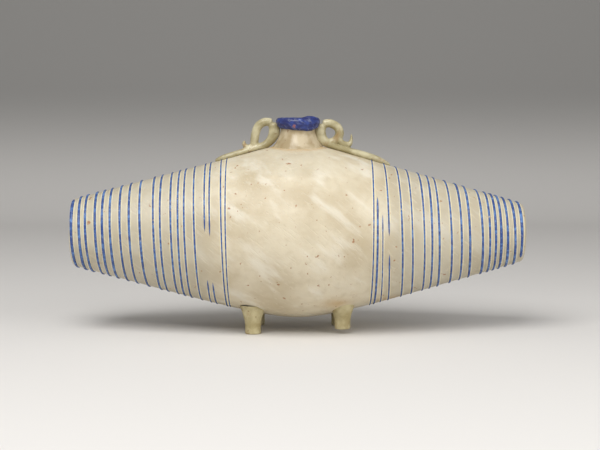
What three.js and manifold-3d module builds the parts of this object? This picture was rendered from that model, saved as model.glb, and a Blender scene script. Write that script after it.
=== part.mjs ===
// A barrel-shaped glass flask: a blown body that tapers to both ends, with a short neck, a blue rim coil,
// two dolphin handles, four small feet and blue trails wound round each half of the body.
// Millimetres, +Z up. The origin is on the ground under the middle of the body, and +X runs along the body.
// The body's axis is a height above the ground, and everything is first made about that axis.
import * as THREE from "three";
import { mergeVertices } from "three/addons/utils/BufferGeometryUtils.js";
import Module from "manifold-3d";

const wasm = await Module();
wasm.setup();

// Body
const BODY_LENGTH = 190;
const BELLY_RADIUS = 35.5;
const LEFT_TAPER = 0.275; // how much the radius falls for each millimetre of length, away from the belly
const RIGHT_TAPER = 0.3;
const BELLY_SOFTNESS = 17; // how widely the two tapers are rounded into each other
const WALL = 2.2;
const END_EDGE = 1.6; // rounding between an end and the side
const END_CROWN = 0.8; // how far an end bulges
const NECK_LIFT = 1.8; // how far the wall is drawn up towards the neck
const NECK_LIFT_SPREAD = 15;
const AXIS_HEIGHT = 41;

// Neck and rim
const BORE_RADIUS = 5.2;
const NECK_WAIST_RADIUS = 7.1;
const NECK_BASE_RADIUS = 10;
const NECK_TOP = 43.4; // above the body's axis
const NECK_FLARE = 1.7; // how late the neck spreads on its way down: 1 is a cone
const RIM_RADIUS = 7.35; // to the middle of the coil
const RIM_HALF_WIDTH = 1.8;
const RIM_HALF_HEIGHT = 2.35;
const RIM_HEIGHT = 45.7; // middle of the coil above the body's axis
const RIM_LEAN = 0.55; // how far the coil's top leans outwards
const RIM_LUMP = 0.85; // the coil's overlap stands this much thicker, up and down
const RIM_LUMP_ANGLE = -52; // degrees from +X
const RIM_LUMP_SPREAD = 30;
const RIM_DIP = 0.35;
const RIM_DIP_ANGLE = -96;
const RIM_DIP_SPREAD = 22;

// Handles: each row is x, height above the body's ridge or axis, half thickness and half width.
// A strap lies along the ridge and turns up the neck, the loop comes back down from the rim, and the curl ends it.
const LEFT_HANDLE = {
  tail: [
    [-34.8, 0.35, 0.6, 0.9],
    [-31, 0.75, 1.25, 1.8],
    [-24, 1.1, 1.25, 2.1],
    [-18, 1.3, 1.35, 2.1],
    [-14, 1.4, 1.6, 2.0],
  ],
  riser: [
    [-11.2, 39, 2, 1.9],
    [-9.8, 42.6, 2.4, 1.9],
    [-10.6, 46, 1.9, 1.8],
  ],
  loop: [
    [-10.6, 46, 1.7, 1.8],
    [-13.8, 46.3, 1.75, 1.75],
    [-16.5, 44.6, 1.8, 1.7],
    [-17.7, 41.6, 1.8, 1.7],
    [-18.2, 38.4, 1.75, 1.7],
    [-18.6, 35.2, 1.5, 1.6],
  ],
  curl: [
    [-18.4, 36.2, 1.3, 1.6],
    [-21, 35.8, 1.1, 1.45],
    [-22.6, 37, 0.8, 1.1],
    [-22.2, 38.6, 0.45, 0.7],
  ],
};
const RIGHT_HANDLE = {
  tail: [
    [38.7, 0.3, 0.6, 0.9],
    [33, 1.1, 1.45, 1.9],
    [26, 1.25, 1.6, 2.2],
    [20, 1.15, 1.3, 2.2],
    [15, 1.2, 1.3, 2.1],
  ],
  riser: [
    [10.7, 38.6, 2.1, 2],
    [9.2, 42, 2.4, 1.9],
    [10.2, 45.4, 2, 1.8],
  ],
  loop: [
    [10.2, 45.4, 1.7, 1.8],
    [13.4, 45.7, 1.8, 1.75],
    [16.6, 43.9, 1.8, 1.7],
    [17.3, 41, 1.85, 1.7],
    [15.4, 38.4, 1.8, 1.7],
    [12.2, 37.4, 1.6, 1.6],
  ],
  curl: [
    [16.8, 39.6, 1.3, 1.6],
    [18.6, 37.2, 1.4, 1.55],
    [21.4, 37, 1.15, 1.4],
    [22.3, 39.2, 0.6, 0.9],
    [22.2, 41.4, 0.3, 0.4],
  ],
};

// Feet: x, distance from the middle line, half width of the stem along the body and of the flare under it, and
// how far the sole stays off the ground. One foot is short, as pulled blobs of glass are.
const FEET = {
  front_left_foot: { x: -18.6, y: -12.4, stem: 3.25, flare: 5.6, short: 0 },
  front_right_foot: { x: 18.4, y: -12, stem: 3.3, flare: 6, short: 2 },
  back_left_foot: { x: -17.6, y: 12, stem: 3.2, flare: 5.4, short: 0 },
  back_right_foot: { x: 17.6, y: 10.6, stem: 3.3, flare: 5.6, short: 0 },
};
const FOOT_DEPTH_SHARE = 0.82; // a foot's size across the body, as a share of its size along it
const FOOT_SOLE_EDGE = 0.7;
const FOOT_FLARE_START = 3.6; // the stem is straight up to this height
const FOOT_REACH = 12; // the blank's height, before the body is cut out of it

// Trails: where each turn crosses the front of the body, along X, and the winding's tilt in radians.
const LEFT_TURNS = [
  -93.1, -89.7, -87, -82.8, -79.8, -76.5, -72.3, -68.4, -63.9, -58.3, -55.5, -51.1, -48.2, -45.6, -41.5, -37.2,
  -35.2, -30.5, -28.9,
];
const RIGHT_TURNS = [
  34, 36.6, 42, 46.2, 51.1, 54.3, 57.3, 62.4, 66.6, 70.1, 75.5, 78.6, 81.1, 83.4, 86.2, 89.4, 92.3,
];
const START_TURNS = [31.9, 30.3, 28.8];
const LEFT_TILT = 0.015;
const RIGHT_TILT = 0;
// A trail runs from one turn to another, counted from the top of its first one, and its half thickness changes
// evenly from one end to the other. Each half's winding is broken in places, so it is three pieces.
const TRAILS = {
  left_trail: { turns: LEFT_TURNS, tilt: LEFT_TILT, from: 0.02, to: 15.24, thick: [0.62, 0.36] },
  left_trail_second: { turns: LEFT_TURNS, tilt: LEFT_TILT, from: 15.345, to: 16.25, thick: [0.34, 0.34] },
  left_trail_inner: { turns: LEFT_TURNS, tilt: LEFT_TILT, from: 16.35, to: 18.58, thick: [0.34, 0.26] },
  right_trail_start: { turns: START_TURNS, tilt: RIGHT_TILT, from: 0.15, to: 1.52, thick: [0.42, 0.26] },
  right_trail_second: { turns: RIGHT_TURNS, tilt: RIGHT_TILT, from: 0.19, to: 1.25, thick: [0.26, 0.32] },
  right_trail: { turns: RIGHT_TURNS, tilt: RIGHT_TILT, from: 1.28, to: 16.4, thick: [0.34, 0.62] },
};
const LEAST_TRAIL_GAP = 0.4;

// Clearances between pieces that are melted together on the real flask
const JOINT_GAP = 0.3;
const TRAIL_GAP = 0.12;

// Fineness
const BODY_SIDES = 24;
const BODY_STATIONS = 17;
const STATION_CROWDING = 1.5; // how much closer the stations lie at the belly than at the ends
const TRAIL_STEPS = BODY_SIDES; // so that a trail's corners stand over the body's own
const TRAIL_SIDES = 4;
const HANDLE_SIDES = 8;
const HANDLE_STEPS = 3; // between two rows of a handle's table
const RIM_STEPS = 28;
const RIM_SIDES = 8;
const NECK_SIDES = 28;
const FOOT_SIDES = 12;

const COLOURS = {
  body: { color: 0xd9ccaf, roughness: 0.42 },
  neck: { color: 0xc6b48f, roughness: 0.4 },
  handle: { color: 0xbfb184, roughness: 0.28 },
  foot: { color: 0xb0a26f, roughness: 0.3 },
  trail: { color: 0x1d4486, roughness: 0.3 },
  rim: { color: 0x13236e, roughness: 0.25 },
};

// A closed geometry as a manifold-3d solid.
function solidOf(geometry) {
  const bare = geometry.index ? geometry.toNonIndexed() : geometry.clone();
  bare.deleteAttribute("normal");
  bare.deleteAttribute("uv");
  const merged = mergeVertices(bare, 1e-3);
  return new wasm.Manifold(
    new wasm.Mesh({
      numProp: 3,
      vertProperties: merged.attributes.position.array,
      triVerts: new Uint32Array(merged.index.array),
    }),
  );
}

// A manifold-3d solid as a geometry that three.js draws.
function geometryOf(solid) {
  const { vertProperties, triVerts } = solid.getMesh();
  const geometry = new THREE.BufferGeometry();
  geometry.setAttribute("position", new THREE.BufferAttribute(vertProperties, 3));
  geometry.setIndex(new THREE.BufferAttribute(triVerts, 1));
  const flat = geometry.toNonIndexed();
  flat.computeVertexNormals();
  return flat;
}

// A skin over rings of points that all have the same count. Open ends are closed with a fan, and a ring-shaped
// skin is closed on itself. Each ring turns left-handed about the way along, so that the faces point outwards.
function skin(rings, closed = false) {
  const sides = rings[0].length;
  const points = rings.flat();
  const faces = [];
  const spans = closed ? rings.length : rings.length - 1;
  for (let i = 0; i < spans; i++) {
    const here = i * sides;
    const next = ((i + 1) % rings.length) * sides;
    for (let j = 0; j < sides; j++) {
      const k = (j + 1) % sides;
      faces.push(here + j, next + j, next + k, here + j, next + k, here + k);
    }
  }
  if (!closed) {
    const last = (rings.length - 1) * sides;
    for (let j = 1; j < sides - 1; j++) {
      faces.push(0, j, j + 1, last, last + j + 1, last + j);
    }
  }
  const geometry = new THREE.BufferGeometry().setFromPoints(points);
  geometry.setIndex(faces);
  return geometry;
}

// How near an angle in degrees is to another, from 0 far away to 1, falling off over a spread.
function nearness(angle, centre, spread) {
  const apart = ((((angle - centre) % 360) + 540) % 360) - 180;
  return Math.exp(-((apart / spread) ** 2));
}

// Outer radius of the body at a place along it: two cones rounded into each other at the belly.
function bodyRadius(x) {
  const taper = x < 0 ? LEFT_TAPER : RIGHT_TAPER;
  return BELLY_RADIUS - taper * (Math.hypot(x, BELLY_SOFTNESS) - BELLY_SOFTNESS);
}

// How far the wall at a point of the upper half is drawn up towards the neck.
function neckLift(x, y, z) {
  const near = Math.exp(-(x * x + y * y) / (2 * NECK_LIFT_SPREAD ** 2));
  return NECK_LIFT * near * Math.max(0, z / BELLY_RADIUS);
}

// A point outside the body's surface by a distance, at a place along it and an angle from the top over the front.
function bodyPoint(x, angle, out) {
  const radius = bodyRadius(x) + out;
  const y = -radius * Math.sin(angle);
  const z = radius * Math.cos(angle);
  return new THREE.Vector3(x, y, z + neckLift(x, y, z));
}

// Height of the body's upper ridge above its axis.
function ridge(x) {
  return bodyPoint(x, 0, 0).z;
}

// The body's outline turned about its axis, inset by a distance: 0 is the outside, the wall's thickness is the
// hollow, and less than 0 is the room that a neighbour leaves.
function barrel(inset) {
  const end = BODY_LENGTH / 2 - inset;
  const edge = END_EDGE;
  const sideEnd = end - END_CROWN - edge;
  const sideRadius = (x) => bodyRadius(x) - inset;
  const endPoints = (side) => {
    const corner = new THREE.Vector2(sideRadius(side * sideEnd), side * (end - END_CROWN));
    const face = new THREE.Vector2(corner.x - edge, side * (end - END_CROWN));
    const wall = new THREE.Vector2(sideRadius(side * sideEnd), side * sideEnd);
    const round = new THREE.QuadraticBezierCurve(face, corner, wall).getPoints(3);
    const crown = new THREE.Vector2(face.x / 2, side * (end - END_CROWN / 4));
    return [new THREE.Vector2(0, side * end), crown, ...round];
  };
  const sides = [];
  for (let i = 1; i < BODY_STATIONS - 1; i++) {
    const share = (2 * i) / (BODY_STATIONS - 1) - 1;
    const x = (sideEnd * Math.sinh(STATION_CROWDING * share)) / Math.sinh(STATION_CROWDING);
    sides.push(new THREE.Vector2(sideRadius(x), x));
  }
  const outline = [...endPoints(-1), ...sides, ...endPoints(1).reverse()];
  const geometry = new THREE.LatheGeometry(outline, BODY_SIDES);
  geometry.rotateZ(-Math.PI / 2);
  const places = geometry.attributes.position;
  for (let i = 0; i < places.count; i++) {
    const lift = neckLift(places.getX(i), places.getY(i), places.getZ(i));
    places.setZ(i, places.getZ(i) + lift);
  }
  return solidOf(geometry);
}

// The blown body: a shell, open where the neck's bore goes through its top.
function body() {
  const bore = new THREE.CylinderGeometry(BORE_RADIUS, BORE_RADIUS, BELLY_RADIUS, NECK_SIDES);
  bore.rotateX(Math.PI / 2);
  bore.translate(0, 0, BELLY_RADIUS);
  return barrel(0).subtract(barrel(WALL)).subtract(solidOf(bore));
}

// The neck's outside radius at a height, from a spread base to the waist under the rim.
function neckRadius(z) {
  const base = ridge(0);
  const down = Math.min(1.2, Math.max(0, (NECK_TOP - z) / (NECK_TOP - base)));
  return NECK_WAIST_RADIUS + (NECK_BASE_RADIUS - NECK_WAIST_RADIUS) * down ** NECK_FLARE;
}

// The neck before the body is cut out of it, grown outwards by a distance.
function neckBlank(grown) {
  const foot = ridge(0) - NECK_BASE_RADIUS / 2;
  const top = NECK_TOP + grown;
  const outline = [];
  const steps = 7;
  for (let i = 0; i <= steps; i++) {
    const z = foot + ((top - foot) * i) / steps;
    outline.push(new THREE.Vector2(neckRadius(z) + grown, z));
  }
  const inner = BORE_RADIUS - grown;
  outline.push(new THREE.Vector2(inner, top), new THREE.Vector2(inner, foot), outline[0].clone());
  const geometry = new THREE.LatheGeometry(outline, NECK_SIDES);
  geometry.rotateX(Math.PI / 2);
  return solidOf(geometry);
}

// The rim coil before the neck is cut out of it, grown by a distance. It is thicker where the coil overlaps and
// dips at the front.
function rimBlank(grown) {
  const rings = [];
  for (let i = 0; i < RIM_STEPS; i++) {
    const degrees = (360 * i) / RIM_STEPS;
    const lump = nearness(degrees, RIM_LUMP_ANGLE, RIM_LUMP_SPREAD);
    const dip = nearness(degrees, RIM_DIP_ANGLE, RIM_DIP_SPREAD);
    const halfWidth = RIM_HALF_WIDTH + 0.2 * RIM_LUMP * lump + grown;
    const halfHeight = RIM_HALF_HEIGHT + RIM_LUMP * lump + grown;
    const height = RIM_HEIGHT - RIM_DIP * dip;
    const ring = [];
    for (let j = 0; j < RIM_SIDES; j++) {
      const turn = (2 * Math.PI * j) / RIM_SIDES;
      const across = RIM_RADIUS + halfWidth * Math.cos(turn) + RIM_LEAN * Math.sin(turn);
      const angle = THREE.MathUtils.degToRad(degrees);
      const z = height + halfHeight * Math.sin(turn);
      ring.push(new THREE.Vector3(across * Math.cos(angle), across * Math.sin(angle), z));
    }
    rings.push(ring);
  }
  return solidOf(skin(rings, true));
}

// A coil of glass along a smooth line in the X-Z plane. Each row is x, z, half thickness and half width.
function band(rows) {
  const line = new THREE.CatmullRomCurve3(rows.map(([x, z]) => new THREE.Vector3(x, 0, z)), false, "centripetal");
  const sizes = new THREE.CatmullRomCurve3(rows.map(([, , t, w]) => new THREE.Vector3(t, w, 0)));
  const steps = (rows.length - 1) * HANDLE_STEPS;
  const rings = [];
  for (let i = 0; i <= steps; i++) {
    const at = i / steps;
    const place = line.getPoint(at);
    const along = line.getTangent(at);
    const size = sizes.getPoint(at);
    const across = new THREE.Vector3(-along.z, 0, along.x);
    const ring = [];
    for (let j = 0; j < HANDLE_SIDES; j++) {
      const turn = (2 * Math.PI * j) / HANDLE_SIDES;
      ring.push(
        place
          .clone()
          .addScaledVector(across, size.x * Math.cos(turn))
          .add(new THREE.Vector3(0, size.y * Math.sin(turn), 0)),
      );
    }
    rings.push(ring);
  }
  return solidOf(skin(rings));
}

// A handle: strap and riser, loop and curl as one piece, with room cut for all that it is melted on to.
function handle({ tail, riser, loop, curl }, room) {
  const strap = tail.map(([x, above, thick, wide]) => [x, ridge(x) + above, thick, wide]);
  return band([...strap, ...riser])
    .add(band(loop))
    .add(band(curl))
    .subtract(room);
}

// A foot: a pulled blob with a flat sole, wider where it meets the body, with the body cut out of its top.
function foot({ x, y, stem, flare, short }, room) {
  const rings = [];
  const steps = 8;
  const sole = -AXIS_HEIGHT + short;
  const heights = [0, FOOT_SOLE_EDGE];
  for (let i = 1; i <= steps; i++) {
    heights.push(FOOT_SOLE_EDGE + ((FOOT_REACH - FOOT_SOLE_EDGE) * i) / steps);
  }
  const reach = FOOT_REACH - FOOT_FLARE_START;
  for (const height of heights) {
    const up = Math.max(0, (height - FOOT_FLARE_START) / reach);
    const size = (height === 0 ? stem - FOOT_SOLE_EDGE : stem) + (flare - stem) * up ** 1.5;
    const ring = [];
    for (let j = 0; j < FOOT_SIDES; j++) {
      const turn = (-2 * Math.PI * j) / FOOT_SIDES;
      const across = y + FOOT_DEPTH_SHARE * size * Math.sin(turn);
      ring.push(new THREE.Vector3(x + size * Math.cos(turn), across, sole + height));
    }
    rings.push(ring);
  }
  return solidOf(skin(rings)).subtract(room);
}

// Where a trail's middle line is, along X, after a number of turns: a smooth line through its turns at the front.
function turnPlace(turns, tilt, count) {
  const last = turns.length - 1;
  const at = Math.min(last, Math.max(0, count - 0.25));
  const i = Math.min(last - 1, Math.floor(at));
  const before = turns[Math.max(0, i - 1)];
  const after = turns[Math.min(last, i + 2)];
  const smooth = new THREE.CatmullRomCurve3(
    [before, turns[i], turns[i + 1], after].map((x, k) => new THREE.Vector3(x, k, 0)),
    false,
    "catmullrom",
    0.5,
  );
  const beyond = (count - 0.25 - at) * (turns[last] > turns[0] ? 1 : -1);
  const x = smooth.getPoint((1 + at - i) / 3).x + beyond;
  return x - tilt * bodyRadius(x) * Math.cos(2 * Math.PI * count);
}

// The points that a trail follows, one for each step, and its half thickness there. It rides just clear of the
// body, with a corner over each of the body's corners.
function trailLine({ turns, tilt, from, to, thick }) {
  const line = [];
  const first = Math.ceil(from * TRAIL_STEPS);
  const last = Math.floor(to * TRAIL_STEPS);
  for (let i = first; i <= last; i++) {
    const count = i / TRAIL_STEPS;
    const half = THREE.MathUtils.lerp(thick[0], thick[1], (i - first) / (last - first));
    const x = turnPlace(turns, tilt, count);
    line.push({ point: bodyPoint(x, 2 * Math.PI * count, TRAIL_GAP + half), half });
  }
  return line;
}

// A trail as one unbroken tube, grown by a distance.
function trail(line, grown = 0) {
  const rings = line.map(({ point, half }, i) => {
    const before = line[Math.max(0, i - 1)].point;
    const after = line[Math.min(line.length - 1, i + 1)].point;
    const along = after.clone().sub(before).normalize();
    const out = new THREE.Vector3(0, point.y, point.z).normalize();
    const side = new THREE.Vector3().crossVectors(along, out).normalize();
    out.crossVectors(side, along);
    const ring = [];
    for (let j = 0; j < TRAIL_SIDES; j++) {
      const turn = (2 * Math.PI * (j + 0.5)) / TRAIL_SIDES;
      ring.push(
        point
          .clone()
          .addScaledVector(out, -(half + grown) * Math.cos(turn))
          .addScaledVector(side, (half + grown) * Math.sin(turn)),
      );
    }
    return ring;
  });
  return solidOf(skin(rings));
}

// The least gap between a trail and itself, a turn on, or between two trails, surface to surface.
function leastGap(line, other = line) {
  let least = Infinity;
  line.forEach((a, i) => {
    other.forEach((b, j) => {
      if (line === other && j - i < TRAIL_STEPS / 2) return;
      least = Math.min(least, a.point.distanceTo(b.point) - a.half - b.half);
    });
  });
  return least;
}

const flask = new THREE.Group();
flask.position.z = AXIS_HEIGHT;

// Adds a solid to the flask as a named mesh in one of the flask's glasses.
function place(name, solid, glass) {
  const { color, roughness } = COLOURS[glass];
  const material = new THREE.MeshStandardMaterial({ color, roughness, metalness: 0 });
  const mesh = new THREE.Mesh(geometryOf(solid), material);
  mesh.name = name;
  flask.add(mesh);
}

const bodyRoom = barrel(-JOINT_GAP);
const neckRoom = neckBlank(JOINT_GAP);
const rimRoom = rimBlank(JOINT_GAP);

place("blown_body", body(), "body");
place("neck", neckBlank(0).subtract(bodyRoom), "neck");
place("rim_coil", rimBlank(0).subtract(neckRoom), "rim");

const lines = Object.fromEntries(Object.entries(TRAILS).map(([name, spec]) => [name, trailLine(spec)]));
let handleRoom = bodyRoom.add(neckRoom).add(rimRoom);
for (const [name, line] of Object.entries(lines)) {
  place(name, trail(line), "trail");
  handleRoom = handleRoom.add(trail(line, JOINT_GAP));
}
place("left_handle", handle(LEFT_HANDLE, handleRoom), "handle");
place("right_handle", handle(RIGHT_HANDLE, handleRoom), "handle");

for (const [name, spec] of Object.entries(FEET)) {
  place(name, foot(spec, bodyRoom), "foot");
}

const names = Object.keys(lines);
for (const [i, name] of names.entries()) {
  const gaps = names.slice(i).map((other) => leastGap(lines[name], lines[other]));
  const least = Math.min(...gaps);
  const said = least > LEAST_TRAIL_GAP ? "clear" : "TOO CLOSE";
  console.log(`${name}: least gap to itself and the trails after it ${least.toFixed(2)} mm, ${said}`);
}

export default flask;
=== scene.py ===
"""Looks of a barrel-shaped blown glass flask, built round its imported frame.

Lengths in the classes are millimetres and are turned into metres when a mesh is made. The body's axis lies
along X at AXIS_HEIGHT above the ground. Angles about it start at the top and turn over the front (-Y).
"""
import logging
import math
from collections.abc import Callable
from dataclasses import dataclass
from enum import Enum

import bmesh
import bpy
import numpy as np
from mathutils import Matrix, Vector

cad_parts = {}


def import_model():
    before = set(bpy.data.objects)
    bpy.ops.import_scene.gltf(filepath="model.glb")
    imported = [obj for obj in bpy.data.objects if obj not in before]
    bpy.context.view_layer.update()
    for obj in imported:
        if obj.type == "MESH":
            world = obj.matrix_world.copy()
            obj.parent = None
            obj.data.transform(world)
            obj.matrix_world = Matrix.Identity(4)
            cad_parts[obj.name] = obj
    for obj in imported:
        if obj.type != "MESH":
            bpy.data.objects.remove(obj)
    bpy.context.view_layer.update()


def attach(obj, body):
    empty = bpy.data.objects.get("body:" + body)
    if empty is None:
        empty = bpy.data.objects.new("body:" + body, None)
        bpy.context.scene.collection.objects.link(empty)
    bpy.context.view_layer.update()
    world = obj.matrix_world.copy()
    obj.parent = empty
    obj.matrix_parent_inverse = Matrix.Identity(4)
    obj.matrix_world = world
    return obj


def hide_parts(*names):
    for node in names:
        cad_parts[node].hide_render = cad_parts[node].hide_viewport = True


MM = 0.001
AXIS_HEIGHT = 41.0
AXIS_PLACE = np.array([0, 0, AXIS_HEIGHT])
FULL_TURN = 2 * np.pi
QUARTER_TURN = np.pi / 2
MERGE_DISTANCE = 1e-6
LOG = logging.getLogger("flask")

Socket = bpy.types.NodeSocket
Triple = tuple[float, float, float]
Colour = tuple[float, float, float, float]
Span = tuple[float, float]
Rows = tuple[tuple[float, float, float, float], ...]


class Slot(Enum):
    """The record's material slots."""

    BODY = "body_glass"
    NECK = "neck_glass"
    HANDLE = "handle_glass"
    FOOT = "foot_glass"
    TRAIL = "trail_glass"
    RIM = "rim_glass"


class Mark(Enum):
    """The marks that the body's mesh carries for its glass, each a value at every point."""

    THREAD_HALO = "painted_thread_halo"
    GAP = "gap"
    STAIN = "stain"


class Rise(Enum):
    """How a mask rises over its span."""

    SMOOTH = "SMOOTHSTEP"
    STRAIGHT = "LINEAR"


class Sum(Enum):
    """What a Math node does with its two values."""

    TIMES = "MULTIPLY"
    LESS = "SUBTRACT"


def srgb(red: int, green: int, blue: int) -> Colour:
    """Turns a display colour of 0 to 255 into the linear colour that shaders take, by the sRGB curve: a
    straight line near black, and a power of 2.4 above it.

    Args:
        red: red channel.
        green: green channel.
        blue: blue channel.

    Returns:
        Linear red, green, blue and an alpha of 1.
    """
    shares = (np.array([red, green, blue]) / 255.0).tolist()
    linear = [c / 12.92 if c <= 0.04045 else ((c + 0.055) / 1.055) ** 2.4 for c in shares]
    return (linear[0], linear[1], linear[2], 1.0)


def catmull_rom(rows: np.ndarray, at: np.ndarray) -> np.ndarray:
    """Reads a Catmull-Rom curve through rows: each span is the cubic whose end slopes are half the chord
    between its neighbours.

    Args:
        rows: a value or a row of values for each control point.
        at: places along the curve, counted in control points.

    Returns:
        The value or the row of values at each place.
    """
    last = len(rows) - 1
    i = np.clip(np.floor(at).astype(int), 0, last - 1)
    u = (at - i).reshape(at.shape + (1,) * (rows.ndim - 1))
    p0, p1, p2, p3 = rows[np.maximum(i - 1, 0)], rows[i], rows[i + 1], rows[np.minimum(i + 2, last)]
    cubic = (3 * (p1 - p2) + p3 - p0) * u**3 + (2 * p0 - 5 * p1 + 4 * p2 - p3) * u**2
    return 0.5 * (cubic + (p2 - p0) * u) + p1


def wobble(values: np.ndarray, seed: float) -> np.ndarray:
    """A smooth hand-made unevenness between -1 and 1: the mean of three sines of unrelated pace."""
    return (np.sin(values + seed) + np.sin(2.3 * values + 2.1 * seed) + np.sin(5.1 * values - seed)) / 3


def around(sides: int) -> np.ndarray:
    """Angles evenly round a full turn, as the columns of a grid."""
    return np.linspace(0, FULL_TURN, sides, endpoint=False)[None, :]


def closing(count: int, steps: int) -> np.ndarray:
    """How thick a tube is along its length: a quarter circle up from 0 at each tip, and 1 between them.

    Args:
        count: how many rings of points the tube has.
        steps: how many of them each tip takes.

    Returns:
        A share of the full thickness for each ring.
    """
    from_tip = np.minimum(np.arange(count), np.arange(count)[::-1])
    return np.sqrt(1 - (1 - np.clip(from_tip / steps, 0, 1)) ** 2)


def grid_mesh(
    name: str,
    grids: list[np.ndarray],
    wraps: tuple[bool, bool],
    keep: Callable[[np.ndarray], np.ndarray] | None = None,
) -> bpy.types.Object:
    """Makes one object from grids of points, each a surface over two parameters.

    Args:
        name: the piece's name.
        grids: arrays of shape (rows, columns, 3), in millimetres about the body's axis.
        wraps: whether rows and columns close on themselves.
        keep: optional test that takes the faces' centres and returns which of them stay.

    Returns:
        The new object, at the origin, in metres, with merged poles.
    """
    points, faces, start = [], [], 0
    for grid in grids:
        rows, columns = grid.shape[:2]
        i = np.arange(rows if wraps[0] else rows - 1)[:, None]
        j = np.arange(columns if wraps[1] else columns - 1)[None, :]
        i2, j2 = (i + 1) % rows, (j + 1) % columns
        quads = np.stack([i * columns + j, i2 * columns + j, i2 * columns + j2, i * columns + j2], axis=-1)
        quads = quads.reshape(-1, 4)
        flat = grid.reshape(-1, 3)
        if keep is not None:
            quads = quads[keep(flat[quads].mean(axis=1))]
        points.append(flat)
        faces.append(quads + start)
        start += len(flat)
    places = (np.concatenate(points) + AXIS_PLACE) * MM
    mesh = bpy.data.meshes.new(name)
    mesh.from_pydata(places.tolist(), [], np.concatenate(faces).tolist())
    work = bmesh.new()
    work.from_mesh(mesh)
    bmesh.ops.remove_doubles(work, verts=work.verts, dist=MERGE_DISTANCE)
    loose = [v for v in work.verts if not v.link_faces]
    bmesh.ops.delete(work, geom=loose, context="VERTS")
    bmesh.ops.recalc_face_normals(work, faces=work.faces)
    work.to_mesh(mesh)
    work.free()
    mesh.polygons.foreach_set("use_smooth", np.ones(len(mesh.polygons), dtype=bool))
    piece = bpy.data.objects.new(name, mesh)
    bpy.context.collection.objects.link(piece)
    return piece


def settle(piece: bpy.types.Object, nodes: tuple[str, ...], finish: bpy.types.Material) -> None:
    """Gives a piece its finish and the nodes that it stands for, and lets it ride on the flask.

    Args:
        piece: the finished piece.
        nodes: the frame's nodes that it replaces.
        finish: its material.
    """
    piece.data.materials.append(finish)
    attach(piece, "root")
    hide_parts(*nodes)
    LOG.info("%s: %d faces", piece.name, len(piece.data.polygons))


@dataclass(frozen=True)
class Noise:
    """A noise over a piece. It is turned first and then squeezed along each axis, where a share under 1
    draws it out."""

    scale: float
    detail: float
    squeeze: Triple = (1.0, 1.0, 1.0)
    turn: Triple = (0.0, 0.0, 0.0)


class Layout:
    """A short way to lay out the nodes of one tree."""

    # The places of a Mix node's colour sockets, which share their names with its other sockets.
    mix_first, mix_second, mix_result = 6, 7, 2

    def __init__(self, tree: bpy.types.NodeTree, place: Socket) -> None:
        """Keeps the tree, and the socket that gives the place of each shaded point."""
        self.tree = tree
        self.place = place

    def feed(self, socket: Socket, value: object) -> None:
        """Links an input to another node's output, or sets it to a plain value.

        Args:
            socket: the input.
            value: the output, or the value.
        """
        if isinstance(value, bpy.types.NodeSocket):
            self.tree.links.new(value, socket)
        else:
            socket.default_value = value

    def node(self, kind: str, **values: object) -> bpy.types.Node:
        """Adds a node, sets its properties and links or sets its inputs.

        Args:
            kind: the node's type.
            values: properties of the node, or inputs with spaces as underscores.

        Returns:
            The node.
        """
        made = self.tree.nodes.new(kind)
        for key, value in values.items():
            if hasattr(made, key):
                setattr(made, key, value)
            else:
                self.feed(made.inputs[key.replace("_", " ")], value)
        return made

    def noise(self, noise: Noise) -> Socket:
        """Adds a noise over the piece.

        Args:
            noise: its values.

        Returns:
            The noise, about 0.5 on average.
        """
        mapped = self.node("ShaderNodeMapping", vector_type="TEXTURE", Vector=self.place)
        self.feed(mapped.inputs["Rotation"], noise.turn)
        self.feed(mapped.inputs["Scale"], tuple(1 / share for share in noise.squeeze))
        texture = self.node(
            "ShaderNodeTexNoise", Vector=mapped.outputs["Vector"], Scale=noise.scale, Detail=noise.detail
        )
        return texture.outputs["Fac"]

    def ramp(self, factor: Socket, span: Span, rise: Rise = Rise.SMOOTH) -> Socket:
        """Adds a mask that rises from 0 to 1 over a span of a value.

        Args:
            factor: the value.
            span: where the mask is 0 and where it is 1.
            rise: how it rises between them.

        Returns:
            The mask.
        """
        made = self.node("ShaderNodeMapRange", interpolation_type=rise.value, Value=factor)
        self.feed(made.inputs["From Min"], span[0])
        self.feed(made.inputs["From Max"], span[1])
        return made.outputs["Result"]

    def math(self, operation: Sum, first: Socket, second: Socket | float) -> Socket:
        """Adds a value worked out from two others.

        Args:
            operation: what is done with them.
            first: the first value.
            second: the second value.

        Returns:
            The result.
        """
        made = self.node("ShaderNodeMath", operation=operation.value)
        self.feed(made.inputs[0], first)
        self.feed(made.inputs[1], second)
        return made.outputs["Value"]

    def mix(self, factor: Socket, first: Socket | Colour, second: Socket | Colour) -> Socket:
        """Adds a colour mixed from two.

        Args:
            factor: the mask, 0 for the first colour and 1 for the second.
            first: the first colour.
            second: the second colour.

        Returns:
            The mixed colour.
        """
        made = self.node("ShaderNodeMix", data_type="RGBA", Factor=factor)
        self.feed(made.inputs[self.mix_first], first)
        self.feed(made.inputs[self.mix_second], second)
        return made.outputs[self.mix_result]

    def cover(self, colour: Socket, layers: tuple[tuple[Socket, float, Colour], ...]) -> Socket:
        """Lays tints over a colour, one after another.

        Args:
            colour: the colour underneath.
            layers: for each tint its mask, the share of that mask to use, and the tint.

        Returns:
            The covered colour.
        """
        for mask, share, tint in layers:
            colour = self.mix(self.math(Sum.TIMES, mask, share), colour, tint)
        return colour


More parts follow.
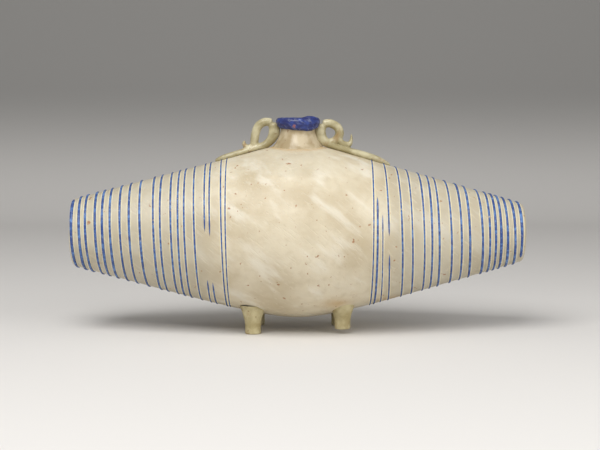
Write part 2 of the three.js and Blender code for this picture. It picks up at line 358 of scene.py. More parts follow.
@dataclass(frozen=True)
class Weathering:
    """The weathering that every glass here shares: broad clouds, rust specks and fine slanting scratches,
    over a fine grain."""

    name: str = "glass_weathering"
    clouds: Noise = Noise(45.0, 5.0, squeeze=(0.7, 1.0, 1.0))
    specks: Noise = Noise(420.0, 2.0)
    speck_span: Span = (0.69, 0.74)
    scratches: Noise = Noise(700.0, 3.0, squeeze=(0.16, 1.0, 1.6), turn=(0.0, 0.7, 0.0))
    scratch_span: Span = (0.58, 0.68)
    grain: Noise = Noise(1500.0, 2.0)

    def group(self) -> bpy.types.NodeTree:
        """Builds the node group the first time, and finds it after that.

        Returns:
            The group. Clouds, Specks and Scratches come out as masks, and Height as grain less scratches.
        """
        known = bpy.data.node_groups.get(self.name)
        if known:
            return known
        group = bpy.data.node_groups.new(self.name, "ShaderNodeTree")
        face = group.interface
        face.new_socket("Vector", in_out="INPUT", socket_type="NodeSocketVector")
        for name in ("Specks", "Scratches"):
            face.new_socket(name, in_out="INPUT", socket_type="NodeSocketFloat")
        for name in ("Clouds", "Specks", "Scratches", "Height"):
            face.new_socket(name, in_out="OUTPUT", socket_type="NodeSocketFloat")
        levels = group.nodes.new("NodeGroupInput").outputs
        results = group.nodes.new("NodeGroupOutput").inputs
        kit = Layout(group, levels["Vector"])
        specks = kit.ramp(kit.noise(self.specks), self.speck_span, Rise.STRAIGHT)
        scratches = kit.ramp(kit.noise(self.scratches), self.scratch_span, Rise.STRAIGHT)
        scratches = kit.math(Sum.TIMES, scratches, levels["Scratches"])
        kit.feed(results["Clouds"], kit.noise(self.clouds))
        kit.feed(results["Specks"], kit.math(Sum.TIMES, specks, levels["Specks"]))
        kit.feed(results["Scratches"], scratches)
        kit.feed(results["Height"], kit.math(Sum.LESS, kit.noise(self.grain), scratches))
        return group


class Shader(Layout):
    """One material's nodes, round its Principled shader."""

    relief_strength = 0.5

    def __init__(self, name: str) -> None:
        """Starts a material, with patterns placed by the piece's own coordinates.

        Args:
            name: the material's name.
        """
        self.material = bpy.data.materials.new(name)
        self.material.use_nodes = True
        tree = self.material.node_tree
        super().__init__(tree, tree.nodes.new("ShaderNodeTexCoord").outputs["Object"])
        self.principled = tree.nodes["Principled BSDF"]

    def weathering(self, specks: float, scratches: float) -> tuple[Socket, ...]:
        """Places the shared weathering.

        Args:
            specks: how strong its specks are.
            scratches: how strong its scratches are.

        Returns:
            Clouds, specks, scratches and height.
        """
        made = self.node("ShaderNodeGroup", node_tree=Weathering().group(), Vector=self.place)
        self.feed(made.inputs["Specks"], specks)
        self.feed(made.inputs["Scratches"], scratches)
        return tuple(made.outputs)

    def mark(self, mark: Mark) -> Socket:
        """Reads one of the marks that the piece's mesh carries."""
        return self.node("ShaderNodeAttribute", attribute_name=mark.value).outputs["Fac"]

    def finish(self, colour: Socket, roughness: Socket | float) -> None:
        """Gives the shader its colour and its roughness."""
        self.feed(self.principled.inputs["Base Color"], colour)
        self.feed(self.principled.inputs["Roughness"], roughness)

    def relief(self, height: Socket, depth: float) -> None:
        """Gives the shader a fine relief of a depth in metres."""
        bump = self.node("ShaderNodeBump", Strength=self.relief_strength, Distance=depth, Height=height)
        self.feed(self.principled.inputs["Normal"], bump.outputs["Normal"])

    def plain(self, **values: object) -> None:
        """Sets the shader's own inputs, with spaces as underscores, to values that are the same all over."""
        for key, value in values.items():
            self.principled.inputs[key.replace("_", " ")].default_value = value


@dataclass(frozen=True)
class PaleGlass:
    """Weathered cream glass of the body: clouds of two creams, pearly slants and pale scratches, grey among
    the threads, rust specks, amber stains, and a painted pale yellow halo of light beside each thread."""

    light: Colour = srgb(216, 205, 180)
    deep: Colour = srgb(192, 177, 147)
    pearl: Colour = srgb(228, 222, 206)
    grey: Colour = srgb(178, 171, 152)
    rust: Colour = srgb(150, 92, 45)
    amber: Colour = srgb(190, 150, 84)
    # The colour of the painted halo of light beside each thread.
    edge: Colour = srgb(240, 228, 186)
    speck_level: float = 1.0
    scratch_level: float = 0.8
    cloud_span: Span = (0.36, 0.62)
    fine: Noise = Noise(260.0, 6.0)
    fine_span: Span = (0.45, 0.75)
    fine_share: float = 0.4
    slant: Noise = Noise(150.0, 6.0, squeeze=(0.3, 1.0, 1.3), turn=(0.0, 0.75, 0.0))
    slant_span: Span = (0.5, 0.72)
    slant_share: float = 0.6
    gap_share: float = 0.55
    scratch_share: float = 0.5
    stain_share: float = 0.75
    speck_share: float = 0.8
    rough_span: Span = (1.3, -0.35)
    depth: float = 0.00018
    glow: float = 0.12
    glow_reach: Triple = (0.004, 0.003, 0.002)
    coat: float = 0.15
    coat_roughness: float = 0.25

    def make(self) -> bpy.types.Material:
        """Builds the material, which reads the body's marks.

        Returns:
            The material.
        """
        kit = Shader("pale_glass")
        clouds, specks, scratches, height = kit.weathering(self.speck_level, self.scratch_level)
        layers = (
            (kit.ramp(kit.noise(self.fine), self.fine_span), self.fine_share, self.deep),
            (kit.ramp(kit.noise(self.slant), self.slant_span), self.slant_share, self.pearl),
            (kit.mark(Mark.GAP), self.gap_share, self.grey),
            (scratches, self.scratch_share, self.light),
            (kit.mark(Mark.STAIN), self.stain_share, self.amber),
            (specks, self.speck_share, self.rust),
        )
        colour = kit.cover(kit.mix(kit.ramp(clouds, self.cloud_span), self.deep, self.light), layers)
        # Painted halo of light: a pale band laid beside each thread.
        colour = kit.mix(kit.mark(Mark.THREAD_HALO), colour, self.edge)
        kit.finish(colour, kit.ramp(clouds, self.rough_span))
        kit.relief(height, self.depth)
        kit.plain(Subsurface_Weight=self.glow, Subsurface_Radius=self.glow_reach)
        kit.plain(Coat_Weight=self.coat, Coat_Roughness=self.coat_roughness)
        return kit.material


@dataclass(frozen=True)
class TintedGlass:
    """Tan or olive glass of the neck, handles and feet: clouds of two tints with slanting darker streaks."""

    name: str
    light: Colour
    deep: Colour
    streak: Colour
    rust: Colour = srgb(128, 82, 40)
    speck_level: float = 0.8
    scratch_level: float = 0.6
    tints: Noise = Noise(160.0, 5.0)
    tint_span: Span = (0.35, 0.65)
    streaks: Noise = Noise(240.0, 3.0, squeeze=(1.0, 1.0, 0.3), turn=(0.0, 0.5, 0.0))
    streak_span: Span = (0.56, 0.72)
    streak_share: float = 0.6
    scratch_share: float = 0.3
    speck_share: float = 0.7
    rough_span: Span = (1.6, -0.1)
    depth: float = 0.00012
    clear: float = 0.12
    coat: float = 0.5
    coat_roughness: float = 0.12

    def make(self) -> bpy.types.Material:
        """Builds the material.

        Returns:
            The material.
        """
        kit = Shader(self.name)
        clouds, specks, scratches, height = kit.weathering(self.speck_level, self.scratch_level)
        tints = kit.ramp(kit.noise(self.tints), self.tint_span)
        layers = (
            (kit.ramp(kit.noise(self.streaks), self.streak_span), self.streak_share, self.streak),
            (scratches, self.scratch_share, self.light),
            (specks, self.speck_share, self.rust),
        )
        colour = kit.cover(kit.mix(tints, self.deep, self.light), layers)
        kit.finish(colour, kit.ramp(clouds, self.rough_span))
        kit.relief(height, self.depth)
        kit.plain(Transmission_Weight=self.clear, Coat_Weight=self.coat, Coat_Roughness=self.coat_roughness)
        return kit.material


@dataclass(frozen=True)
class BlueGlass:
    """Cobalt glass of the trails and rim: flat streaks from deep to light, pale scratches, warm flecks."""

    name: str
    deep: Colour
    light: Colour
    fleck: Colour
    fleck_level: float
    pale: Colour = srgb(150, 158, 178)
    scratch_level: float = 0.9
    streaks: Noise = Noise(330.0, 5.0, squeeze=(1.0, 1.0, 2.2))
    streak_span: Span = (0.4, 0.72)
    scratch_share: float = 0.35
    rough_span: Span = (1.7, 0.0)
    depth: float = 0.0001
    coat: float = 0.6
    coat_roughness: float = 0.1

    def make(self) -> bpy.types.Material:
        """Builds the material.

        Returns:
            The material.
        """
        kit = Shader(self.name)
        clouds, flecks, scratches, height = kit.weathering(self.fleck_level, self.scratch_level)
        colour = kit.mix(kit.ramp(kit.noise(self.streaks), self.streak_span), self.deep, self.light)
        colour = kit.cover(colour, ((scratches, self.scratch_share, self.pale),))
        colour = kit.mix(flecks, colour, self.fleck)
        kit.finish(colour, kit.ramp(clouds, self.rough_span))
        kit.relief(height, self.depth)
        kit.plain(Coat_Weight=self.coat, Coat_Roughness=self.coat_roughness)
        return kit.material


@dataclass(frozen=True)
class Paper:
    """The floor's matt paper, which painted shade darkens with height."""

    low: Colour = srgb(224, 221, 217)
    shaded_high: Colour = srgb(156, 154, 151)
    shade_rise_span: Span = (0.0, 0.11)
    roughness: float = 0.9

    def make(self) -> bpy.types.Material:
        """Builds the material.

        Returns:
            The material.
        """
        kit = Shader("paper")
        height = kit.node("ShaderNodeSeparateXYZ", Vector=kit.place).outputs["Z"]
        # Painted shade: the sweep is darker the higher it rises.
        kit.finish(kit.mix(kit.ramp(height, self.shade_rise_span), self.low, self.shaded_high), self.roughness)
        return kit.material


@dataclass
class Thread:
    """One unbroken stretch of a blue trail, counted in turns from the top of the first one.

    Its turns are the places along X where the whole winding crosses the front. The stretch runs from its
    first to its last count of turns, and thick is half its thickness at both.
    """

    node: str
    turns: tuple[float, ...]
    tilt: float
    first: float
    last: float
    thick: tuple[float, float]
    front: float = 0.25
    swell: float = 0.16
    swell_pace: float = 4.7
    proud: float = 0.12
    tall: float = 0.85
    tip: float = 0.005
    tip_steps: int = 4
    steps: int = 96
    sides: int = 10

    def place(self, count: np.ndarray, barrel: "Barrel") -> np.ndarray:
        """Where the thread is along X: a Catmull-Rom curve through the places where its turns cross the
        front, going on by 1 mm a turn past the ends of that list, with the winding's tilt added as a cosine.

        Args:
            count: counts of turns.
            barrel: the body that it is wound on.

        Returns:
            The places along X.
        """
        table = np.array(self.turns)
        wanted = count - self.front
        at = np.clip(wanted, 0, len(table) - 1)
        x = catmull_rom(table, at) + (wanted - at) * (1 if table[-1] > table[0] else -1)
        return x - self.tilt * barrel.radius(x) * np.cos(FULL_TURN * count)

    def half(self, count: np.ndarray) -> np.ndarray:
        """Half the thread's thickness: evenly changed from end to end, and uneven by hand.

        Args:
            count: counts of turns.

        Returns:
            Half the thickness at each.
        """
        share = np.clip((count - self.first) / (self.last - self.first), 0, 1)
        plain = self.thick[0] + (self.thick[1] - self.thick[0]) * share
        return plain * (1 + self.swell * wobble(count * self.swell_pace, self.turns[0]))

    def build(self, barrel: "Barrel") -> bpy.types.Object:
        """The thread as a flattened tube, sunk a little into the body: an oval ring of points at each step.

        Args:
            barrel: the body that it is wound on.

        Returns:
            The thread's piece.
        """
        steps = int((self.last - self.first) * self.steps)
        count = np.linspace(self.first + self.tip, self.last - self.tip, steps)
        x = self.place(count, barrel)
        half = (self.half(count) * closing(steps, self.tip_steps))[:, None]
        turn = around(self.sides)
        out = self.proud * half + self.tall * half * np.cos(turn)
        along = x[:, None] + half * np.sin(turn)
        angle = np.repeat(FULL_TURN * count[:, None], self.sides, axis=1)
        return grid_mesh(self.node + "_glass", [barrel.surface(along, angle, out)], (False, True))


@dataclass(frozen=True)
class Marks:
    """Where the body's glass is marked, in millimetres about its axis, and how strongly.

    The painted halo of light lies beside each thread, the shade is in front of the neck, and the gap is grey
    between the threads. The stains are a line and a spot low in front, and a ring round the neck.
    """

    # How far the painted halo of light reaches beside each thread, how it fades, and how far it runs under
    # the thread.
    halo_reach: float = 0.42
    halo_fade: float = 0.3
    halo_under: float = 0.3
    gap_start: float = 30.0
    gap_fade: float = 12.0
    shade_place: tuple[float, float] = (-3.0, -17.0)
    shade_spread: tuple[float, float] = (14.0, 13.0)
    shade_floor: float = 25.0
    shade_share: float = 0.5
    line_height: float = -27.0
    line_spread: float = 1.6
    line_start: float = 28.0
    line_fade: float = 8.0
    line_share: float = 0.8
    spot_place: tuple[float, float] = (16.0, -27.5)
    spot_spread: tuple[float, float] = (5.0, 2.2)
    spot_share: float = 0.7
    ring_radius: float = 11.2
    ring_spread: float = 0.9
    ring_share: float = 0.8

    def values(self, points: np.ndarray, near: np.ndarray) -> dict[Mark, np.ndarray]:
        """Each mark from 0 to 1, or a little over where the shade meets the gap. Spots, lines and rings are
        bell curves of the distance from them, and fades are straight.

        Args:
            points: the body's points about its axis.
            near: how far each lies from the side of the nearest thread.

        Returns:
            The value of each mark at every point.
        """
        x, y, z = points.T
        front = y < 0
        across = (x - self.shade_place[0]) / self.shade_spread[0]
        forward = (y - self.shade_place[1]) / self.shade_spread[1]
        shade = np.exp(-(across**2) - forward**2) * (z > self.shade_floor)
        line = np.exp(-(((z - self.line_height) / self.line_spread) ** 2)) * front
        line = line * np.clip((x - self.line_start) / self.line_fade, 0, 1)
        across = (x - self.spot_place[0]) / self.spot_spread[0]
        upward = (z - self.spot_place[1]) / self.spot_spread[1]
        spot = np.exp(-(across**2) - upward**2) * front
        ring = np.exp(-(((np.hypot(x, y) - self.ring_radius) / self.ring_spread) ** 2)) * (z > 0)
        stain = self.line_share * line + self.spot_share * spot + self.ring_share * ring
        # The painted halo of light beside each thread.
        edge = np.clip((self.halo_reach - near) / self.halo_fade, 0, 1) * (near > -self.halo_under)
        gap = np.clip((np.abs(x) - self.gap_start) / self.gap_fade, 0, 1) + self.shade_share * shade
        return {Mark.THREAD_HALO: edge, Mark.GAP: gap, Mark.STAIN: np.clip(stain, 0, 1)}


@dataclass
class Barrel:
    """The blown body: two cones rounded into each other at the belly, drawn up a little towards the neck."""

    length: float = 190.0
    belly: float = 35.5
    left_taper: float = 0.275
    right_taper: float = 0.3
    softness: float = 17.0
    lift: float = 1.8
    lift_spread: float = 15.0
    wall: float = 2.2
    edge: float = 1.6
    crown: float = 0.8
    bore: float = 5.4
    # How many turns short of a thread's tips its painted halo of light stops.
    bare_tip: float = 0.04
    far: float = 9.0
    stations: int = 430
    inner_stations: int = 90
    sides: int = 144
    end_points: int = 14
    edge_points: int = 7
    marks: Marks = Marks()

    def radius(self, x: np.ndarray) -> np.ndarray:
        """Outside radius: the belly's, less the taper times how far a hyperbola has left its vertex."""
        taper = np.where(x < 0, self.left_taper, self.right_taper)
        return self.belly - taper * (np.hypot(x, self.softness) - self.softness)

    def surface(
        self, x: np.ndarray, angle: np.ndarray, out: np.ndarray | float, radius: np.ndarray | None = None
    ) -> np.ndarray:
        """Points at a place along the body and an angle about it, moved out by a distance.

        Args:
            x: places along the body.
            angle: angles from the top over the front.
            out: distances outside the wall.
            radius: radii to use in place of the body's own.

        Returns:
            Points about the axis, with the rise towards the neck, a bell curve of the distance from it.
        """
        reach = (self.radius(x) if radius is None else radius) + out
        y, z = -reach * np.sin(angle), reach * np.cos(angle)
        rise = np.exp(-(x**2 + y**2) / (2 * self.lift_spread**2)) * np.maximum(0, z / self.belly)
        return np.stack([x + 0 * y, y, z + self.lift * rise], axis=-1)

    def ridge(self, x: np.ndarray | float) -> np.ndarray:
        """Height of the body's upper ridge above the axis."""
        x = np.asarray(x, dtype=float)
        return self.surface(x, np.zeros_like(x), np.zeros_like(x))[..., 2]

    def outline(self, inset: float, stations: int) -> tuple[np.ndarray, np.ndarray]:
        """The outline of a wall: a low parabola on each end, a quarter round, and the side.

        Args:
            inset: how far inside the outer wall it lies.
            stations: how many points its side has.

        Returns:
            Places along the body, and the radius at each.
        """
        end = self.length / 2 - inset
        side = end - self.crown - self.edge
        x = np.linspace(-side, side, stations)
        r = self.radius(x) - inset
        turn = np.linspace(0, QUARTER_TURN, self.edge_points)[1:-1]
        round_x = end - self.crown - self.edge * (1 - np.cos(turn))
        places, radii = [], []
        for rim in (r[0], r[-1]):
            face = rim - self.edge
            flat = np.linspace(0, face, self.end_points)
            bow = end - self.crown * (flat / face) ** 2
            places.append(np.concatenate([bow, round_x]))
            radii.append(np.concatenate([flat, face + self.edge * np.sin(turn)]))
        return (
            np.concatenate([-places[0], x, places[1][::-1]]),
            np.concatenate([radii[0], r, radii[1][::-1]]),
        )

    def beside_bore(self, centres: np.ndarray) -> np.ndarray:
        """Which faces stay: those farther from the bore's line than its radius, or below the body's axis."""
        return (np.hypot(centres[:, 0], centres[:, 1]) > self.bore) | (centres[:, 2] < 0)

    def build(self, threads: list[Thread]) -> bpy.types.Object:
        """The outer and the inner wall, and the marks that their glass reads. Each is a surface turned about
        the axis and left open at the bore, and both face away from the axis.

        Args:
            threads: the trails that are wound on the body.

        Returns:
            The body's piece.
        """
        grids = []
        for inset, stations in ((0.0, self.stations), (self.wall, self.inner_stations)):
            x, r = self.outline(inset, stations)
            grids.append(self.surface(x[:, None], around(self.sides), 0.0, r[:, None]))
        piece = grid_mesh("blown_body_glass", grids, (False, True), self.beside_bore)
        self.mark(piece, threads)
        return piece

    def beside_threads(self, points: np.ndarray, threads: list[Thread]) -> np.ndarray:
        """How far each point lies from the side of the nearest thread, along the body. It is far where none
        is near.

        Args:
            points: the body's points about its axis.
            threads: the trails.

        Returns:
            The distances, which are below 0 under a thread.
        """
        x, y, z = points.T
        share = (np.arctan2(-y, z) / FULL_TURN) % 1.0
        near = np.full(len(x), self.far)
        for thread in threads:
            for turn in range(int(thread.last) + 1):
                count = share + turn
                there = (count >= thread.first + self.bare_tip) & (count <= thread.last - self.bare_tip)
                away = np.abs(x - thread.place(count, self)) - thread.half(count)
                near = np.where(there, np.minimum(near, away), near)
        return near

    def mark(self, piece: bpy.types.Object, threads: list[Thread]) -> None:
        """Writes the marks on the body's points.

        Args:
            piece: the body's piece.
            threads: the trails.
        """
        flat = np.empty(len(piece.data.vertices) * 3)
        piece.data.vertices.foreach_get("co", flat)
        points = flat.reshape(-1, 3) / MM - AXIS_PLACE
        for mark, values in self.marks.values(points, self.beside_threads(points, threads)).items():
            layer = piece.data.attributes.new(mark.value, "FLOAT", "POINT")
            layer.data.foreach_set("value", values.astype(np.float32))


@dataclass
class Mouth:
    """The neck and the coil of blue glass round its top. Angles round the mouth are degrees from +X."""

    bore: float = 5.2
    waist: float = 7.1
    base: float = 10.3
    top: float = 43.6
    flare: float = 1.7
    toe: float = 3.6
    toe_start: float = 0.8
    toe_power: float = 1.2
    neck_uneven: float = 0.012
    neck_pace: int = 2
    neck_seed: float = 0.4
    sunk: float = 0.25
    bore_sunk: float = 3.2
    neck_sides: int = 96
    neck_steps: int = 30
    rim_radius: float = 7.35
    rim_width: float = 1.8
    rim_half_height: float = 2.35
    rim_height: float = 45.7
    rim_uneven: float = 0.03
    rim_pace: int = 3
    rim_seed: float = 1.0
    lean: float = 0.55
    lump: float = 0.85
    lump_width: float = 0.2
    lump_angle: float = -52.0
    lump_spread: float = 30.0
    dip: float = 0.35
    dip_angle: float = -96.0
    dip_spread: float = 22.0
    groove: float = 0.05
    groove_angle: float = 350.0
    groove_spread: float = 16.0
    rim_steps: int = 160
    rim_sides: int = 28

    def neck(self, barrel: Barrel) -> bpy.types.Object:
        """The neck's wall: a funnel that widens downwards by a power, with a toe that spreads at its foot,
        and the bore inside it. Its foot follows the body's saddle, a little under the surface, and is left
        open.

        Args:
            barrel: the body that it stands on.

        Returns:
            The neck's piece.
        """
        turn = around(self.neck_sides)
        down = np.linspace(0, 1, self.neck_steps)[:, None]
        reach = self.waist + (self.base - self.waist) * down**self.flare
        reach = reach + self.toe * np.clip(down - self.toe_start, 0, 1) ** self.toe_power
        reach = reach * (1 + self.neck_uneven * wobble(turn * self.neck_pace, self.neck_seed))
        x, y = reach * np.cos(turn), reach * np.sin(turn)
        foot_angle = np.arcsin(np.clip(-y / barrel.radius(x), -1, 1))
        saddle = barrel.surface(x, foot_angle, 0.0)[..., 2] - self.sunk
        outer = np.stack([x, y, self.top + (saddle - self.top) * down], axis=-1)
        inside = np.full_like(down, self.bore)
        low = float(barrel.ridge(0.0)) - self.bore_sunk
        depth = self.top + (low - self.top) * down + 0 * turn
        inner = np.stack([inside * np.cos(turn), inside * np.sin(turn), depth], axis=-1)
        return grid_mesh("neck_glass_wall", [np.concatenate([outer[::-1], inner])], (False, True))

    def rim(self) -> bpy.types.Object:
        """The coil: a ring whose section is an oval that leans out, with a faint groove. It swells at its
        overlap and dips in front, each by a bell curve of the angle from there.

        Returns:
            The coil's piece.
        """
        degrees = np.linspace(-180, 180, self.rim_steps, endpoint=False)[:, None]
        turn = around(self.rim_sides)
        lump = np.exp(-(((degrees - self.lump_angle) / self.lump_spread) ** 2))
        dip = np.exp(-(((degrees - self.dip_angle) / self.dip_spread) ** 2))
        angle = np.radians(degrees)
        uneven = 1 + self.rim_uneven * wobble(angle * self.rim_pace, self.rim_seed)
        wide = (self.rim_width + self.lump_width * self.lump * lump) * uneven
        tall = (self.rim_half_height + self.lump * lump) * uneven
        # The section's first radian is counted on past a full turn, so that the groove runs over its start.
        from_groove = np.degrees(turn) - self.groove_angle + 360 * (turn < 1)
        groove = 1 - self.groove * np.exp(-((from_groove / self.groove_spread) ** 2))
        reach = self.rim_radius + wide * groove * np.cos(turn) + self.lean * np.sin(turn)
        height = self.rim_height - self.dip * dip + tall * np.sin(turn)
        coil = np.stack([reach * np.cos(angle), reach * np.sin(angle), height], axis=-1)
        return grid_mesh("rim_coil_glass", [coil], (True, True))


@dataclass
class Handle:
    """A dolphin handle: a strap along the body that rises to the rim, a loop back down, and a curl.

    Each row is x, height above the ridge (in tail) or the axis, half thickness and half width.
    """

    side: str
    tail: Rows
    riser: Rows
    loop: Rows
    curl: Rows
    melt: float = 0.32
    soften: float = 0.5
    soften_passes: int = 4
    steps_a_row: int = 14
    tip_steps: int = 7
    sides: int = 20

    def band(self, rows: np.ndarray) -> np.ndarray:
        """A coil of glass along a smooth line in the X-Z plane: an oval section carried along it, with its
        ends rounded off as a quarter circle closes.

        Args:
            rows: x, z, half thickness and half width at each control point.

        Returns:
            The coil's points, a ring of them at each step.
        """
        steps = self.steps_a_row * len(rows)
        smooth = catmull_rom(rows, np.linspace(0, len(rows) - 1, steps))
        close = closing(steps, self.tip_steps)[:, None]
        way = np.gradient(smooth[:, :2], axis=0)
        way = way / np.linalg.norm(way, axis=1, keepdims=True)
        turn = around(self.sides)
        up = smooth[:, 2:3] * close * np.cos(turn)
        x = smooth[:, 0:1] - way[:, 1:2] * up
        z = smooth[:, 1:2] + way[:, 0:1] * up
        y = smooth[:, 3:4] * close * np.sin(turn)
        return np.stack([x, y, z], axis=-1)

    def build(self, barrel: Barrel) -> bpy.types.Object:
        """The three bands, melted into one piece of glass by a fine remesh and a light smoothing.

        Args:
            barrel: the body that the tail lies on.

        Returns:
            The handle's piece.
        """
        strap = np.array(self.tail, dtype=float)
        strap[:, 1] += barrel.ridge(strap[:, 0])
        bands = (np.concatenate([strap, np.array(self.riser)]), np.array(self.loop), np.array(self.curl))
        piece = grid_mesh(self.side + "_handle_glass", [self.band(rows) for rows in bands], (False, True))
        remesh = piece.modifiers.new("melted", "REMESH")
        remesh.mode = "VOXEL"
        remesh.voxel_size = self.melt * MM
        remesh.use_smooth_shade = True
        smooth = piece.modifiers.new("softened", "SMOOTH")
        smooth.factor = self.soften
        smooth.iterations = self.soften_passes
        return piece


@dataclass
class Foot:
    """A pulled blob of glass with a flat sole, wider where it is melted on to the body."""

    node: str
    x: float
    y: float
    stem: float
    flare: float
    short: float = 0.0
    depth_share: float = 0.82
    reach: float = 12.0
    flare_start: float = 3.6
    flare_power: float = 1.5
    edge: float = 0.7
    uneven: float = 0.03
    pace: int = 2
    twist: float = 0.35
    sides: int = 48
    edge_points: int = 6
    stem_points: int = 26

    def build(self) -> bpy.types.Object:
        """A surface of rings: the stem's radius, rounded at the sole, flaring above flare_start by a power,
        with a slow unevenness that twists as it rises. Its top, inside the body, is left open.

        Returns:
            The foot's piece.
        """
        turn = around(self.sides)
        low = np.linspace(0, QUARTER_TURN, self.edge_points)[:, None]
        stem = np.linspace(self.edge, self.reach, self.stem_points)[1:, None]
        heights = np.concatenate([self.edge * (1 - np.cos(low)), stem])
        up = np.clip((heights - self.flare_start) / (self.reach - self.flare_start), 0, 1)
        size = self.stem + (self.flare - self.stem) * up**self.flare_power
        inset = np.concatenate([self.edge * (1 - np.sin(low)), np.zeros_like(stem)])
        size = (size - inset) * (1 + self.uneven * wobble(turn * self.pace + heights * self.twist, self.x))
        heights = np.concatenate([heights[:1], heights])
        size = np.concatenate([size[:1] * 0, size])
        x = self.x + size * np.cos(turn)
        y = self.y + self.depth_share * size * np.sin(turn)
        z = -AXIS_HEIGHT + self.short + heights + 0 * turn
        return grid_mesh(self.node + "_glass", [np.stack([x, y, z], axis=-1)], (False, True))


LEFT_TURNS = (
    -93.1, -89.7, -87, -82.8, -79.8, -76.5, -72.3, -68.4, -63.9, -58.3, -55.5, -51.1, -48.2, -45.6, -41.5,
    -37.2, -35.2, -30.5, -28.9,
)
RIGHT_TURNS = (
    34, 36.6, 42, 46.2, 51.1, 54.3, 57.3, 62.4, 66.6, 70.1, 75.5, 78.6, 81.1, 83.4, 86.2, 89.4, 92.3,
)
START_TURNS = (31.9, 30.3, 28.8)
LEFT_TILT = 0.015

THREADS = [
    Thread("left_trail", LEFT_TURNS, LEFT_TILT, 0.02, 15.24, (0.62, 0.36)),
    Thread("left_trail_second", LEFT_TURNS, LEFT_TILT, 15.345, 16.25, (0.34, 0.34)),
    Thread("left_trail_inner", LEFT_TURNS, LEFT_TILT, 16.35, 18.58, (0.34, 0.26)),
    Thread("right_trail_start", START_TURNS, 0.0, 0.15, 1.52, (0.42, 0.26)),
    Thread("right_trail_second", RIGHT_TURNS, 0.0, 0.19, 1.25, (0.26, 0.32)),
    Thread("right_trail", RIGHT_TURNS, 0.0, 1.28, 16.4, (0.34, 0.62)),
]

LEFT_HANDLE = Handle(
    "left",
    tail=((-34.8, 0.35, 0.6, 0.9), (-31, 0.75, 1.25, 1.8), (-24, 1.1, 1.25, 2.1), (-18, 1.3, 1.35, 2.1),
          (-14, 1.4, 1.6, 2.0)),
    riser=((-11.2, 39, 2, 1.9), (-9.8, 42.6, 2.4, 1.9), (-10.6, 46, 1.9, 1.8)),
    loop=((-10.6, 46, 1.7, 1.8), (-13.8, 46.3, 1.75, 1.75), (-16.5, 44.6, 1.8, 1.7), (-17.7, 41.6, 1.8, 1.7),
          (-18.2, 38.4, 1.75, 1.7), (-18.6, 35.2, 1.5, 1.6)),
    curl=((-18.4, 36.2, 1.3, 1.6), (-21, 35.8, 1.1, 1.45), (-22.6, 37, 0.8, 1.1), (-22.2, 38.6, 0.45, 0.7)),
)
RIGHT_HANDLE = Handle(
    "right",
    tail=((38.7, 0.3, 0.6, 0.9), (33, 1.1, 1.45, 1.9), (26, 1.25, 1.6, 2.2), (20, 1.15, 1.3, 2.2),
          (15, 1.2, 1.3, 2.1)),
    riser=((10.7, 38.6, 2.1, 2), (9.2, 42, 2.4, 1.9), (10.2, 45.4, 2, 1.8)),
    loop=((10.2, 45.4, 1.7, 1.8), (13.4, 45.7, 1.8, 1.75), (16.6, 43.9, 1.8, 1.7), (17.3, 41, 1.85, 1.7),
          (15.4, 38.4, 1.8, 1.7), (12.2, 37.4, 1.6, 1.6)),
    curl=((16.8, 39.6, 1.3, 1.6), (18.6, 37.2, 1.4, 1.55), (21.4, 37, 1.15, 1.4), (22.3, 39.2, 0.6, 0.9),
          (22.2, 41.4, 0.3, 0.4)),
)
FEET = [
    Foot("front_left_foot", -18.6, -12.4, 3.25, 5.6),
    Foot("front_right_foot", 18.4, -12.0, 3.3, 6.0, short=2.0),
    Foot("back_left_foot", -17.6, 12.0, 3.2, 5.4),
    Foot("back_right_foot", 17.6, 10.6, 3.3, 5.6),
]

NECK_GLASS = TintedGlass("neck_glass", srgb(206, 190, 158), srgb(170, 150, 112), srgb(140, 98, 52))
HANDLE_GLASS = TintedGlass("handle_glass", srgb(205, 196, 160), srgb(158, 146, 104), srgb(150, 104, 48))
FOOT_GLASS = TintedGlass("foot_glass", srgb(210, 198, 154), srgb(170, 154, 106), srgb(150, 114, 56))
THREAD_GLASS = BlueGlass("thread_glass", srgb(34, 68, 134), srgb(92, 132, 190), srgb(196, 190, 170), 0.5)
RIM_GLASS = BlueGlass("rim_glass", srgb(12, 26, 92), srgb(40, 66, 146), srgb(176, 104, 60), 0.6)


@dataclass(frozen=True)
class Lamp:
    """A soft square lamp: its place and its side in millimetres, and its power in watts."""

    name: str
    place: Triple
    side: float
    power: float

    def build(self) -> None:
        """Hangs the lamp, turned towards the flask."""
        data = bpy.data.lights.new(self.name, "AREA")
        data.size = self.side * MM
        data.energy = self.power
        lamp = bpy.data.objects.new(self.name, data)
        lamp.location = Vector(self.place) * MM
        towards = Vector((0, 0, AXIS_HEIGHT * MM)) - lamp.location
        lamp.rotation_euler = towards.to_track_quat("-Z", "Y").to_euler()
        bpy.context.collection.objects.link(lamp)


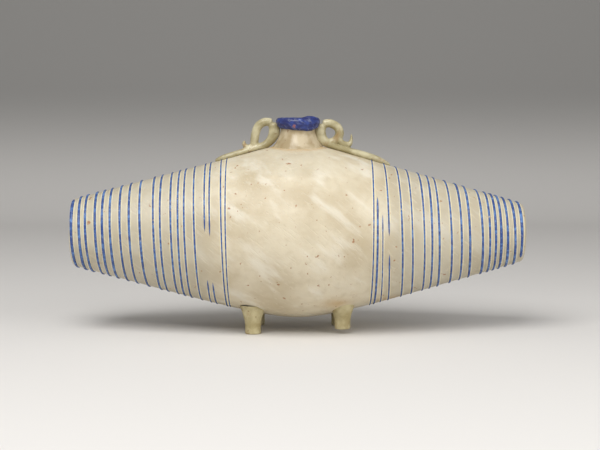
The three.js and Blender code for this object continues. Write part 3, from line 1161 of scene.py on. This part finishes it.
@dataclass
class Studio:
    """The floor and backdrop, the lamps and the camera. Aim is where the camera looks, along X and above the
    body's axis."""

    distance: float = 600.6
    elevation: float = 5.0
    aim: tuple[float, float] = (0.84, 3.1)
    lens: float = 85.8
    sensor: float = 36.0
    floor_front: float = -700.0
    floor_back: float = 500.0
    bend: float = 300.0
    wall_top: float = 1500.0
    half_width: float = 1500.0
    floor_steps: int = 40
    bend_steps: int = 30
    wall_steps: int = 20
    width_steps: int = 12
    world_colour: Colour = (1, 1, 1, 1)
    world_level: float = 0.4
    lamps: tuple[Lamp, ...] = (
        Lamp("key", (-180, -420, 620), 480, 4.4),
        Lamp("fill", (420, -380, 260), 420, 1.1),
    )

    def sweep(self) -> None:
        """A pale floor that curves up, as a quarter circle, into a wall."""
        flat = np.linspace(self.floor_front, self.floor_back, self.floor_steps)
        turn = np.linspace(0, QUARTER_TURN, self.bend_steps)[1:]
        wall = np.linspace(self.bend, self.wall_top, self.wall_steps + 1)[1:]
        wall_place = np.full(self.wall_steps, self.floor_back + self.bend)
        y = np.concatenate([flat, self.floor_back + self.bend * np.sin(turn), wall_place])
        z = np.concatenate([0 * flat, self.bend * (1 - np.cos(turn)), wall]) - AXIS_HEIGHT
        x = np.linspace(-self.half_width, self.half_width, self.width_steps)[None, :]
        grid = np.stack([x + 0 * y[:, None], y[:, None] + 0 * x, z[:, None] + 0 * x], axis=-1)
        floor = grid_mesh("floor", [grid], (False, False))
        floor.data.materials.append(Paper().make())

    def camera(self) -> None:
        """The camera at the photograph's angle: it looks at a point just above the body's axis."""
        data = bpy.data.cameras.new("camera")
        data.lens = self.lens
        data.sensor_width = self.sensor
        camera = bpy.data.objects.new("camera", data)
        rise = math.radians(self.elevation)
        target = Vector((self.aim[0], 0, AXIS_HEIGHT + self.aim[1])) * MM
        camera.location = target + Vector((0, -math.cos(rise), math.sin(rise))) * self.distance * MM
        camera.rotation_euler = (target - camera.location).to_track_quat("-Z", "Y").to_euler()
        bpy.context.collection.objects.link(camera)
        bpy.context.scene.camera = camera

    def build(self) -> None:
        """Makes the camera, the sweep and the lamps, and sets a plain level of light."""
        self.camera()
        self.sweep()
        for lamp in self.lamps:
            lamp.build()
        world = bpy.data.worlds.new("studio")
        world.use_nodes = True
        light = world.node_tree.nodes["Background"].inputs
        light["Color"].default_value = self.world_colour
        light["Strength"].default_value = self.world_level
        bpy.context.scene.world = world
        bpy.context.scene.view_settings.view_transform = "Standard"


def main() -> None:
    """Builds the flask round its frame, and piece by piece."""
    logging.basicConfig(level=logging.INFO)
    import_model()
    Studio().build()
    barrel, mouth = Barrel(), Mouth()
    handle_glass, foot_glass, thread_glass = HANDLE_GLASS.make(), FOOT_GLASS.make(), THREAD_GLASS.make()

    settle(barrel.build(THREADS), ("blown_body",), PaleGlass().make())
    settle(mouth.neck(barrel), ("neck",), NECK_GLASS.make())
    settle(mouth.rim(), ("rim_coil",), RIM_GLASS.make())
    for handle in (LEFT_HANDLE, RIGHT_HANDLE):
        settle(handle.build(barrel), (handle.side + "_handle",), handle_glass)
    for foot in FEET:
        settle(foot.build(), (foot.node,), foot_glass)
    for thread in THREADS:
        settle(thread.build(barrel), (thread.node,), thread_glass)


if __name__ == "__main__":
    main()
